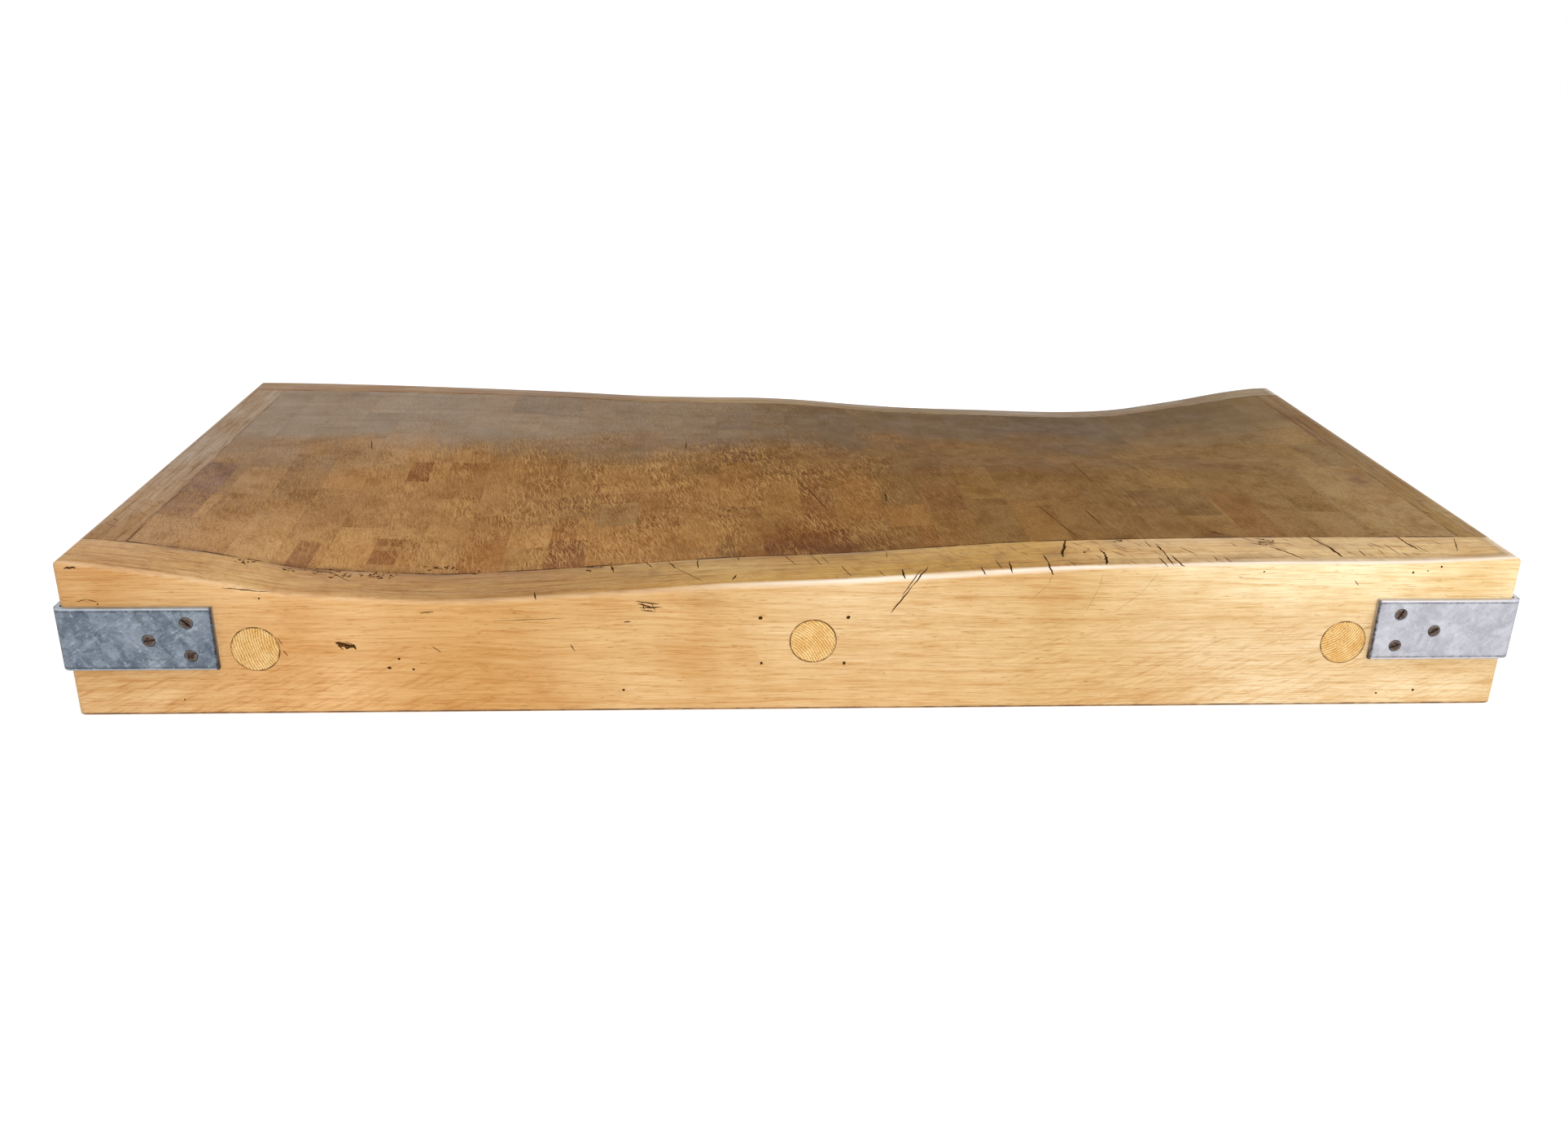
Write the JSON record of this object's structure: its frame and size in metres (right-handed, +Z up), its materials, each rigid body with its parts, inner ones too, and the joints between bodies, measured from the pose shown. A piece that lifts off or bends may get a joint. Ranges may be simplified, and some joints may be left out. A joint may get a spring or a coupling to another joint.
{
  "type": "butcher's chopping block",
  "caption": "Long end-grain butcher's chopping block, its face worn into two hollows, framed by boards with steel corner straps, screws and plugged tie bolts.",
  "frame": {"origin": "centre of the bounding box's bottom face, on the underside of the block", "axes": "+X along the length towards the right end, -Y out of the front rail, +Z up out of the chopping face"},
  "size_m": [1.1086, 0.5286, 0.125],
  "materials": {
    "rail_wood": "pale straw-coloured long-grain hardwood, waxed satin, with knife marks",
    "end_board_wood": "honey-coloured long-grain hardwood, waxed satin",
    "end_grain_core": "brown end-grain hardwood staves, waxed satin, finely scored by knives",
    "plug_wood": "end-grain hardwood plugs with open growth rings",
    "strap_steel": "old blue-grey flat bar, worn and hammered, satin",
    "screw_steel": "brownish slotted steel screws, worn",
    "bolt_steel": "plain steel, dulled"
  },
  "bodies": {
    "root": {"front_rail": "rail_wood", "back_rail": "rail_wood", "left_end_board": "end_board_wood", "right_end_board": "end_board_wood", "core_section_01": "end_grain_core", "core_section_02": "end_grain_core", "core_section_03": "end_grain_core", "core_section_04": "end_grain_core", "core_section_05": "end_grain_core", "core_section_06": "end_grain_core", "core_section_07": "end_grain_core", "core_section_08": "end_grain_core", "core_section_09": "end_grain_core", "core_section_10": "end_grain_core", "core_section_11": "end_grain_core", "core_section_12": "end_grain_core", "core_section_13": "end_grain_core", "corner_strap_front_left": "strap_steel", "strap_screw_front_left_1": "screw_steel", "strap_screw_front_left_2": "screw_steel", "strap_screw_front_left_3": "screw_steel", "strap_screw_front_left_4": "screw_steel", "strap_screw_front_left_5": "screw_steel", "strap_screw_front_left_6": "screw_steel", "corner_strap_front_right": "strap_steel", "strap_screw_front_right_1": "screw_steel", "strap_screw_front_right_2": "screw_steel", "strap_screw_front_right_3": "screw_steel", "strap_screw_front_right_4": "screw_steel", "strap_screw_front_right_5": "screw_steel", "strap_screw_front_right_6": "screw_steel", "corner_strap_back_right": "strap_steel", "strap_screw_back_right_1": "screw_steel", "strap_screw_back_right_2": "screw_steel", "strap_screw_back_right_3": "screw_steel", "strap_screw_back_right_4": "screw_steel", "strap_screw_back_right_5": "screw_steel", "strap_screw_back_right_6": "screw_steel", "corner_strap_back_left": "strap_steel", "strap_screw_back_left_1": "screw_steel", "strap_screw_back_left_2": "screw_steel", "strap_screw_back_left_3": "screw_steel", "strap_screw_back_left_4": "screw_steel", "strap_screw_back_left_5": "screw_steel", "strap_screw_back_left_6": "screw_steel", "tie_bolt_left": "bolt_steel", "tie_bolt_washer_left": "bolt_steel", "tie_bolt_nut_left": "bolt_steel", "front_plug_left": "plug_wood", "back_plug_left": "plug_wood", "tie_bolt_middle": "bolt_steel", "tie_bolt_washer_middle": "bolt_steel", "tie_bolt_nut_middle": "bolt_steel", "front_plug_middle": "plug_wood", "back_plug_middle": "plug_wood", "tie_bolt_right": "bolt_steel", "tie_bolt_washer_right": "bolt_steel", "tie_bolt_nut_right": "bolt_steel", "front_plug_right": "plug_wood", "back_plug_right": "plug_wood"}
  },
  "joints": []
}
